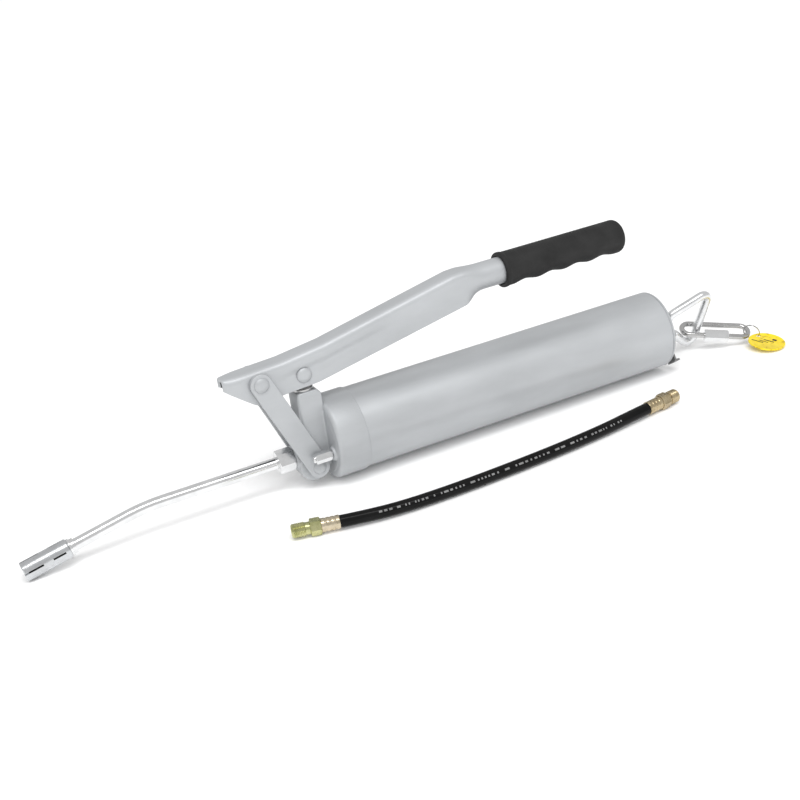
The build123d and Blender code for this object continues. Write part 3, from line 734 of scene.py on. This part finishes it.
def make_links():
    """Two flat link plates; the far one is narrower at its upper end."""
    near, far = LINK_Y
    finish = ("links", "grey_paint")
    plate("link_plate_near", link_outline(LINK_R), -far, -near, *finish, ("link_near",))
    plate("link_plate_far", link_outline(FAR_LINK_R), near, far, *finish, ("link_far",))


def make_rivet(name, pivot, shaft_r, y_face, head_r, head_h, body, replaced):
    """Rivet with a domed head and a small set mark on each side."""
    turns = [math.radians(15 * i) for i in range(1, 7)]
    dome = [(y_face + head_h * math.cos(a), head_r * math.sin(a)) for a in turns]
    mark = [(y_face + head_h * 0.9, 0.05), (y_face + head_h * 0.93, 0.7)]
    half = mark + dome + [(y_face, head_r - 0.15), (y_face - 0.02, shaft_r)]
    profile = [(-x, r) for x, r in half] + [(x, r) for x, r in reversed(half)]
    origin = (pivot[0], 0, pivot[1])
    return lathe(
        name, profile, origin, (0, 1, 0), body, "grey_paint", (replaced,), None, 48, 60.0
    )


# =========================== lever and grip ===========================


def along_line(points, x):
    """Height of a broken line at x."""
    for (xa, za), (xb, zb) in zip(points, points[1:]):
        if x <= xb:
            return za + (zb - za) * (x - xa) / (xb - xa)
    return points[-1][1]


def smooth_step(t):
    t = min(max(t, 0.0), 1.0)
    return t * t * (3 - 2 * t)


def channel_section(top, bottom, half, corner, count):
    """Open section from the near lower edge over the top to the far lower edge."""
    path = [(-half, bottom)]
    turns = [math.radians(9 * i) for i in range(11)]
    path += [
        (-half + corner - corner * math.cos(a), top - corner + corner * math.sin(a)) for a in turns
    ]
    path += [(-y, z) for y, z in reversed(path)]
    lengths = [0.0]
    for (ya, za), (yb, zb) in zip(path, path[1:]):
        lengths.append(lengths[-1] + math.hypot(yb - ya, zb - za))
    section = []
    for i in range(count):
        target = lengths[-1] * i / (count - 1)
        k = max(j for j in range(len(path) - 1) if lengths[j] <= target + 1e-9)
        share = (target - lengths[k]) / max(lengths[k + 1] - lengths[k], 1e-9)
        here, after = path[k], path[k + 1]
        section.append(tuple(here[m] + (after[m] - here[m]) * share for m in range(2)))
    return section


def side_press(x, z, top):
    """How far the side wall is pressed in below its shoulder, at the front half of the lever."""
    fade = smooth_step((x + 178.0) / 16.0) * (1 - smooth_step((x + 112.0) / 26.0))
    band = math.exp(-(((z - (top - 12.0)) / 3.2) ** 2))
    return 0.9 * fade * band


def make_lever():
    """Pressed channel lever, open underneath, that closes into a round tube before the grip."""
    count = 73
    verts = []
    xs = [LEVER_TIP_X + 0.5 * i for i in range(32)] + [-195.5 + 1.5 * i for i in range(104)]
    xs += [-39.0 + 1.0 * i for i in range(22)] + [-15.0, 20.0, 60.0, 88.0]
    for x in xs:
        top, bottom = along_line(TOP_LINE, x), along_line(BOTTOM_LINE, x)
        spread = math.sqrt(1 - (1 - min((x - LEVER_TIP_X) / TIP_TAPER, 1.0)) ** 2)
        half = TIP_HALF_W + (LEVER_HALF_W - TIP_HALF_W) * spread
        corner = min(4.6, (top - bottom) * 0.45)
        open_section = channel_section(top, bottom, half, corner, count)
        closing = smooth_step((x - CLOSING_X) / CLOSING_RUN)
        for i, (y, z) in enumerate(open_section):
            turn = math.pi * (2 * i / (count - 1) - 1)
            round_y, round_z = TUBE_R * math.sin(turn), TUBE_Z + TUBE_R * math.cos(turn)
            y += side_press(x, z, top) * (1 if y < 0 else -1)
            verts.append((x, y + (round_y - y) * closing, z + (round_z - z) * closing))
    faces = []
    for i in range(len(xs) - 1):
        for j in range(count - 1):
            a = i * count + j
            faces.append((a, a + 1, a + count + 1, a + count))
    lever = add_piece(
        "lever_pressing", verts, faces, "lever", "grey_paint", ("lever_channel",), 60.0
    )
    sheet = lever.modifiers.new("sheet", "SOLIDIFY")
    sheet.thickness = SHEET_T * MM
    sheet.offset = -1.0
    # The sheet's inner faces take the second, near-black material: painted shade inside the
    # channel.
    sheet.material_offset = 1
    lever.data.materials.append(MATERIALS["inner_painted_shade"])
    edge = lever.modifiers.new("edge", "BEVEL")
    edge.width = 0.45 * MM
    edge.segments = 3
    edge.limit_method = "ANGLE"
    edge.angle_limit = math.radians(50.0)
    return lever


def make_grip():
    """Moulded grip: lip at the mouth, four finger hollows underneath and a rounded end."""
    x0, x1 = GRIP_X
    body_r, end_r = GRIP_R - 0.5, GRIP_END_R
    stations = [(x0 + 5.0, TUBE_R + 0.15), (x0 + 0.6, TUBE_R + 0.3), (x0, TUBE_R + 1.0)]
    stations += [(x0, GRIP_R - 0.9), (x0 + 0.3, GRIP_R - 0.25), (x0 + 0.9, GRIP_R)]
    stations += [(x0 + 2.6, GRIP_R), (x0 + 3.2, GRIP_R - 0.15), (x0 + 3.9, body_r)]
    stations += [(x0 + 5.0 + 1.0 * i, body_r) for i in range(int(x1 - x0 - 5.0 - end_r))]
    turns = [math.radians(6 * i) for i in range(16)]
    stations += [
        (x1 - end_r + end_r * math.sin(a), body_r - end_r + end_r * math.cos(a)) for a in turns
    ]
    stations += [(x1, 2.0), (x1 - 0.05, 0.05)]

    def reshape(r, x, turn):
        if not x0 + 4.5 < x < x1 - 1.0 or r < GRIP_R - 6.0:
            return r
        under = max(0.0, -math.sin(turn)) ** 1.5
        wave = 0.5 - 0.5 * math.cos(2 * math.pi * (x - 3.5) / FINGER_PITCH)
        fade = smooth_step((x - 3.5) / 4.0) * (1 - smooth_step((x - 86.5) / 3.0))
        above = max(0.0, math.sin(turn)) ** 0.5
        ribs = 0.12 * (0.5 + 0.5 * math.cos(2 * math.pi * x / 2.6)) * above
        return r - FINGER_DEPTH * under * wave * fade - ribs * fade

    place = ((0, 0, TUBE_Z), (1, 0, 0), "lever", "grip_black")
    return lathe("grip_moulding", stations, *place, ("lever_grip",), reshape, 96, 60.0)


# =========================== nozzle and coupler ===========================


def nozzle_point(s):
    return Vector((BEND_X - s * math.cos(FALL), 0.0, OUTLET_Z - s * math.sin(FALL)))


def make_nozzle():
    """Bent steel tube, its union nut and the bleed screw."""
    corners = [(-178.0, 0.0, OUTLET_Z), (BEND_X, 0.0, OUTLET_Z), nozzle_point(COUPLER_BACK_S + 9.0)]
    route = rounded_route(corners, [NOZZLE_BEND_R], 20)
    axis, zinc = (1, 0, 0), ("gun_body", "bright_zinc")
    tube("outlet_tube", route, NOZZLE_R, *zinc, ("nozzle_tube",), 64)
    outlet_at = (0, 0, OUTLET_Z)
    hex_bar("union_nut", *NUT_X, NUT_AF, NOZZLE_R + 0.02, outlet_at, axis, *zinc, ("nozzle_nut",))
    seat, vent, zinc = VENT_BOSS_X, (0, *VENT_YZ), ("bleed_valve", "bright_zinc")
    hex_bar("bleed_screw", seat - 12.0, seat - 0.3, 6.5, 1.0, vent, axis, *zinc, ("vent_valve",))
    nose = [(seat - 13.6, 1.9), (seat - 13.1, 2.4), (seat - 12.0, 2.4), (seat - 11.5, 1.0)]
    lathe("bleed_nose", nose, vent, axis, *zinc, (), None, 40)
    shank = [(seat - 0.4, 2.5), (-146.3, 2.5)]
    lathe("bleed_shank", shank, vent, axis, *zinc, (), None, 40)


# =========================== pull hook, quick link, ring and tag ===========================


def hook_point(x, s):
    return Vector((x, -s * math.sin(HOOK_LEAN), s * math.cos(HOOK_LEAN)))


def make_hook():
    """Follower rod bent into the pull hook, with a rounded tip."""
    corners = [Vector((ROD_FRONT_X + 1.5, 0, 0))] + [hook_point(x, s) for x, s in HOOK_CORNERS]
    route = rounded_route(corners, HOOK_RADII, 14)
    return tube(
        "pull_hook", route, ROD_R, "follower", "hook_zinc", ("follower_rod",), 48, dome=1.4
    )


def link_frame():
    """The quick link's centre, its long axis, and the side its nut is on."""
    axis = (LINK_RIGHT - LINK_LEFT).normalized()
    side = (LINK_SIDE - axis * LINK_SIDE.dot(axis)).normalized()
    return (LINK_LEFT + LINK_RIGHT) / 2, axis, side


def make_quick_link():
    """Oval link with an open side, threaded stubs and a hexagonal sleeve nut."""
    centre, axis, side = link_frame()
    half = (LINK_RIGHT - LINK_LEFT).length / 2
    path = [centre + axis * x + side * LINK_BOW_R for x in (-8.0, -10.0, -half)]

    def bow(end, a):
        reach = half + LINK_BOW_R * math.sin(a)
        return centre + axis * end * reach - side * end * LINK_BOW_R * math.cos(a)

    path += [bow(-1, math.pi * i / 24) for i in range(1, 25)]
    path.append(centre - side * LINK_BOW_R)
    path += [bow(1, math.pi * i / 24) for i in range(25)]
    path += [centre + axis * x + side * LINK_BOW_R for x in (10.0, 3.0, -1.2)]
    steel = ("quick_link", "polished_steel")
    tube("link_wire", path, LINK_WIRE_R, *steel, ("quick_link_body",), 40)
    nut_at = centre + side * LINK_BOW_R
    bore, steel = LINK_WIRE_R + 0.06, ("link_nut", "polished_steel")
    sleeve = hex_bar(
        "link_sleeve", -9.0, 9.0, 8.0, bore, nut_at, axis, *steel, ("quick_link_nut",)
    )
    sleeve.material_slots[0].material = MATERIALS["bright_zinc"]


def make_ring():
    """Split key ring of two close coils through the link's bow and the tag's hole."""
    _, axis, side = link_frame()
    inner = LINK_RIGHT + axis * 2.75
    chord = TAG_HOLE - inner
    run = chord.normalized()
    flat = axis.cross(side)
    up = (flat - run * flat.dot(run)).normalized()
    up = up if up.z > 0 else -up
    middle = (TAG_HOLE + inner) / 2 + up * 2.0
    radius = math.hypot(chord.length / 2, 2.0)
    across = run.cross(up)
    points = []
    for i in range(121):
        turn = 2 * math.pi * 1.9 * i / 120
        lift = 0.36 * math.tanh(6.0 * (i / 120 - 0.5))
        spoke = run * math.cos(turn) + up * math.sin(turn)
        points.append(middle + spoke * radius + across * lift)
    return tube("split_ring", points, 0.33, "tag", "polished_steel", ("tag_ring",), 14, dome=0.3)


def tag_axes():
    run = (TAG_RUN - TAG_NORMAL * TAG_RUN.dot(TAG_NORMAL)).normalized()
    return TAG_HOLE + run * TAG_HOLE_OFFSET, run, TAG_NORMAL.cross(run)


def make_tag():
    """Round tag with a rolled rim and a hole."""
    centre, run, across = tag_axes()
    sides = 96
    levels = [(-0.6, 0.35), (-0.45, 0.1), (-0.2, 0.0), (0.2, 0.0)]
    levels += [(0.5, 0.08), (0.6, 0.3), (0.6, 1.0), (0.42, 1.3)]
    hole_at = Vector((-TAG_HOLE_OFFSET, 0.0))
    verts = []
    for height, inset in levels:
        for j in range(sides):
            a = 2 * math.pi * j / sides
            verts.append((height, Vector((math.cos(a), math.sin(a))) * (TAG_R - inset)))
    for height in (0.42, -0.6):
        for j in range(sides):
            a = 2 * math.pi * j / sides
            verts.append((height, hole_at + Vector((math.cos(a), math.sin(a))) * TAG_HOLE_R))
    count = len(levels) + 2
    placed = [centre + TAG_NORMAL * h + run * p.x + across * p.y for h, p in verts]
    faces = ring_faces(count, sides, True)
    tag = add_piece("tag_plate", placed, faces, "tag", "tag_yellow", ("tag_disc",), 40.0)
    make_tag_bars(centre, run, across)
    return tag


def make_tag_bars(centre, run, across):
    """Plain dark bars on the tag in place of its print: (across, along, length, width)."""
    bars = [(-3.5, -6.0, 9.0, 0.9), (-1.2, -2.0, 7.0, 0.7)]
    bars += [(1.6, 1.0, 8.0, 1.1), (5.2, 4.0, 3.2, 2.4)]
    verts, faces = [], []
    turn = math.radians(32.0)
    along = run * math.cos(turn) + across * math.sin(turn)
    cross = TAG_NORMAL.cross(along)
    for u, v, length, width in bars:
        base = len(verts)
        for height, shrink in ((0.40, 0.0), (0.52, 0.0), (0.56, 0.12)):
            for su, sv in ((-1, -1), (1, -1), (1, 1), (-1, 1)):
                reach = v + su * (length / 2 - shrink)
                aside = u + sv * (width / 2 - shrink)
                verts.append(centre + along * reach + cross * aside + TAG_NORMAL * height)
        faces += [tuple(base + k for k in face) for face in ring_faces(3, 4)]
        faces.append(tuple(base + 8 + k for k in range(4)))
        faces.append(tuple(base + k for k in range(4)))
    return add_piece("tag_bars", verts, faces, "tag", "tag_yellow", (), 40.0, paint="tag_marks")


# =========================== hose ends ===========================


def thread_shape(r, along, turn):
    """Helical thread cut below the full radius."""
    phase = (along / THREAD_PITCH - turn / (2 * math.pi)) % 1.0
    return r - THREAD_DEPTH * abs(2 * phase - 1)


def make_hose_end(tag, end, inner, slot, ferrule_node, fitting_node, neck, thread):
    """Crimped ferrule, hexagon, neck and threaded end on one end of the hose."""
    origin = Vector(HOSE_ROUTE[end])
    outward = origin - Vector(HOSE_ROUTE[inner])
    outward.z = 0.0
    outward.normalize()
    crimped = [(0.0, 4.15), (0.0, 4.4), (0.25, FERRULE_R)]
    for i in range(8, 116):
        x = i * 0.1
        dip = sum(math.exp(-(((x - c) / 0.55) ** 2)) for c in (3.0, 6.0, 9.0))
        crimped.append((x, FERRULE_R - 0.34 * dip))
    crimped += [(11.8, FERRULE_R), (12.0, 4.4), (12.0, 2.0)]
    place = (origin, outward, "hose", slot)
    ferrule = lathe(f"{tag}_ferrule", crimped, *place, (ferrule_node,), None, 64, 40.0)
    if slot == "yellow_zinc":
        ferrule.material_slots[0].material = MATERIALS["ferrule_zinc"]
    nut = hex_bar(f"{tag}_hexagon", 12.05, 19.0, 10.0, 2.0, *place, (fitting_node,))
    stem = [(19.0, 3.9), (19.1, 4.1), (neck, 4.1), (neck + 0.05, 4.3), (neck + 0.4, THREAD_R)]
    step = 0.125
    count = int((thread - neck - 1.3) / step)
    turns = [(neck + 0.5 + step * i, THREAD_R) for i in range(count)]
    tip = [(thread - 0.6, 4.3), (thread, 3.7), (thread, 2.1)]
    tip += [(thread - 1.5, 2.0), (thread - 1.5, 0.1)]

    def cut(r, along, turn):
        return thread_shape(r, along, turn) if r == THREAD_R else r

    threads = lathe(f"{tag}_thread", stem + turns + tip, *place, (), cut, 72, 50.0)
    return [ferrule, nut, threads]


# =========================== springs ===========================


def coil(name, node, start, direction, length, turns, radius, wire_r, joint, anchor, keep):
    """Coil spring of given length, turns and radius, laid along a direction from a start point."""
    direction = Vector(direction).normalized()
    side, up = axes_along(direction)
    steps = int(turns * 28)
    points = []
    for i in range(steps + 1):
        a = 2 * math.pi * turns * i / steps
        spoke = side * math.cos(a) + up * math.sin(a)
        points.append(Vector(start) + direction * (length * i / steps) + spoke * radius)
    spring = tube(name, points, wire_r, "gun_body", "spring_steel", (node,), 12)
    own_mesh(spring)
    return spring


def make_coupler_shade_sleeve():
    """Painted shade: a thin near-black sleeve inside the coupler, seen through its slots."""
    back = nozzle_point(COUPLER_BACK_S)
    outward = nozzle_point(COUPLER_BACK_S + 1.0) - back
    wall = [(2.5, 4.955), (29.5, 4.955), (29.5, 4.985), (2.5, 4.985)]
    place = (back, outward, "gun_body", "coupler_zinc")
    shade_sleeve = lathe("coupler_shade_sleeve", wall, *place, (), None, 64, 35.0, True)
    shade_sleeve.material_slots[0].material = MATERIALS["painted_shade_black"]


def make_coupler_pocket_shade():
    """Painted shade: near-black floors in the four short pockets at the rear of the coupler."""
    back = nozzle_point(COUPLER_BACK_S)
    outward = nozzle_point(COUPLER_BACK_S + 1.0) - back
    up = Vector((-math.sin(FALL), 0, math.cos(FALL)))
    pocket = ((4.8, -0.55), (13.2, -0.55), (13.2, 0.55), (4.8, 0.55))
    verts, faces = [], []
    for index in range(4):
        turn = math.radians(FIRST_SLOT_DEG + 90 * index)
        out = Vector((0, math.cos(turn), 0)) + up * math.sin(turn)
        aside = out.cross(outward)
        base = len(verts)
        for r in (5.82, 6.3):
            for s, lateral in pocket:
                verts.append(back + outward * s + out * r + aside * lateral)
        faces += [tuple(base + k for k in face) for face in ring_faces(2, 4)]
        faces += [tuple(base + k for k in range(4)), tuple(base + 4 + k for k in range(4))]
    return add_piece(
        "coupler_pocket_shade", verts, faces, "gun_body", "coupler_zinc", (), 30.0, paint="painted_shade_black"
    )


def make_springs():
    """The follower's long spring and the small springs of latch, check valve and coupler."""
    along, outlet_at = (1, 0, 0), (-177.5, 0, OUTLET_Z)
    face = (CAP_FACE_X, 0, 0)
    latch = Vector((CAP_FACE_X + 0.5, -16.0 * 0.53, -16.0 * 0.848))
    axis = Vector((math.cos(FALL), 0, math.sin(FALL)))
    behind = nozzle_point(COUPLER_BACK_S + 16.1)
    # name, node, start, direction, length, turns, radius, wire radius, joint, anchor, keep
    follower = ("follower_slide", (115.9, 0, 0), 0.232)
    coil("follower_coil", "follower_spring", (-126.0, 0, 0), along, 241.4, 17, 19.0, 0.9, *follower)
    check = ("ball_lift", (-177.8, 0, OUTLET_Z), 0.84)
    coil("check_coil", "check_spring", outlet_at, along, 8.6, 5, 2.4, 0.35, *check)
    coil("latch_coil", "latch_spring", latch, along, 2.6, 2, 2.4, 0.35, "latch_tilt", face, 0.42)
    jaws = ("jaws_slide", behind + axis * 3.9, 0.6)
    coil("coupler_coil", "coupler_spring", behind, axis, 3.6, 2, 3.6, 0.4, *jaws)


# =========================== light, floor and camera ===========================


def add_area(name, place, target, size, energy):
    """Rectangular light at a place, turned to a target."""
    light = bpy.data.lights.new(name, "AREA")
    light.shape = "RECTANGLE"
    light.size, light.size_y = size
    light.energy = energy
    holder = bpy.data.objects.new(name, light)
    holder.location = place
    holder.rotation_euler = (Vector(target) - Vector(place)).to_track_quat("-Z", "Y").to_euler()
    bpy.context.scene.collection.objects.link(holder)


def make_floor():
    """Plain pale floor, far larger than the view."""
    surface = Surface("floor_paint", Specular_IOR_Level=0.2, Roughness=0.75)
    field = surface.noise(3.0, 2.0)
    surface.colour(surface.ramp(field, [(0.3, grey(0.945)), (0.7, grey(0.955))]))
    mesh = bpy.data.meshes.new("floor")
    reach, z = 9.0, FLOOR_Z * MM
    corners = [(-reach, -reach, z), (reach, -reach, z), (reach, reach, z), (-reach, reach, z)]
    mesh.from_pydata(corners, [], [(0, 1, 2, 3)])
    mesh.materials.append(surface.material)
    floor = bpy.data.objects.new("floor", mesh)
    bpy.context.scene.collection.objects.link(floor)


def make_light():
    """Bright studio: even white surroundings, a broad soft key and a strip light above.

    The key is left out of reflections, so metal shows the strip and the surroundings.
    """
    world = bpy.data.worlds.new("studio")
    world.use_nodes = True
    background = world.node_tree.nodes["Background"]
    background.inputs["Color"].default_value = (1.0, 1.0, 1.0, 1.0)
    background.inputs["Strength"].default_value = 0.68
    bpy.context.scene.world = world
    sky = bpy.data.lights.new("sky", "SUN")
    sky.energy = 1.9
    sky.angle = math.radians(60.0)
    holder = bpy.data.objects.new("sky", sky)
    holder.visible_glossy = False
    holder.rotation_euler = Vector((-0.22, -0.72, 0.70)).to_track_quat("Z", "Y").to_euler()
    bpy.context.scene.collection.objects.link(holder)
    add_area("strip", (-0.2, -0.6, 1.2), (0, 0, 0), (1.2, 0.3), 6.0)
    bpy.context.scene.view_settings.view_transform = "Standard"


def make_camera():
    lens = bpy.data.cameras.new("camera")
    lens.lens = CAMERA_LENS
    lens.sensor_width = 36.0
    lens.clip_end = 50.0
    camera = bpy.data.objects.new("camera", lens)
    turn = Matrix((CAMERA_RIGHT, CAMERA_UP, CAMERA_BACK)).transposed().to_4x4()
    camera.matrix_world = Matrix.Translation(CAMERA_AT) @ turn
    bpy.context.scene.collection.objects.link(camera)
    bpy.context.scene.camera = camera


# =========================== build ===========================

PLAIN_NODES = {
    "head_gasket": "rubber_black",
    "plunger_packing": "rubber_black",
    "check_ball": "plain_steel",
    "coupler_seal": "rubber_black",
    "coupler_jaws": "plain_steel",
    "piston_cup": "rubber_black",
    "piston_front_plate": "plain_steel",
    "piston_back_plate": "plain_steel",
    "piston_nut": "plain_steel",
}

make_camera()
make_floor()
make_light()
make_barrel()
make_cap()
make_collar()
make_tower()
make_links()
link_face = LINK_Y[1]
make_rivet("rivet_upper", PIVOT_A, 4.0, link_face, 5.2, 2.2, "links", "link_upper_rivet")
make_rivet("rivet_lower", PIVOT_C, 3.0, link_face, 4.6, 1.8, "links", "link_lower_rivet")
make_rivet("rivet_plunger", PIVOT_B, 4.0, LEVER_HALF_W, 5.2, 2.0, "lever", "plunger_rivet")
make_lever()
make_grip()
make_nozzle()
make_hook()
make_quick_link()
make_ring()
make_tag()
make_coupler_shade_sleeve()
make_coupler_pocket_shade()
make_springs()
refined("coupler_sleeve", "gun_body", "coupler_zinc", 0.2)
refined("coupler_adapter", "gun_body", "bright_zinc", 0.2)
refined("gland_nut", "gun_body", "plain_steel", 0.3)
refined("pump_plunger", "plunger", "plain_steel", 0.3)
refined("rod_bush", "gun_body", "plain_steel", 0.3)
refined("rod_latch", "latch", "dark_steel", 0.25)
refined("latch_bracket", "gun_body", "dark_steel", 0.25)
refined("latch_pin", "gun_body", "plain_steel", 0.2)
for node, paint in PLAIN_NODES.items():
    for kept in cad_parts[node].material_slots:
        kept.material = MATERIALS[paint]

inlet_nodes = ("hose_inlet_ferrule", "hose_inlet_fitting")
outlet_nodes = ("hose_outlet_ferrule", "hose_outlet_fitting")
inlet = make_hose_end("inlet", 0, 1, "yellow_zinc", *inlet_nodes, 22.0, 31.0)
outlet = make_hose_end("outlet", -1, -2, "hose_brass", *outlet_nodes, 20.5, 28.5)
print_marks = make_hose_marks()
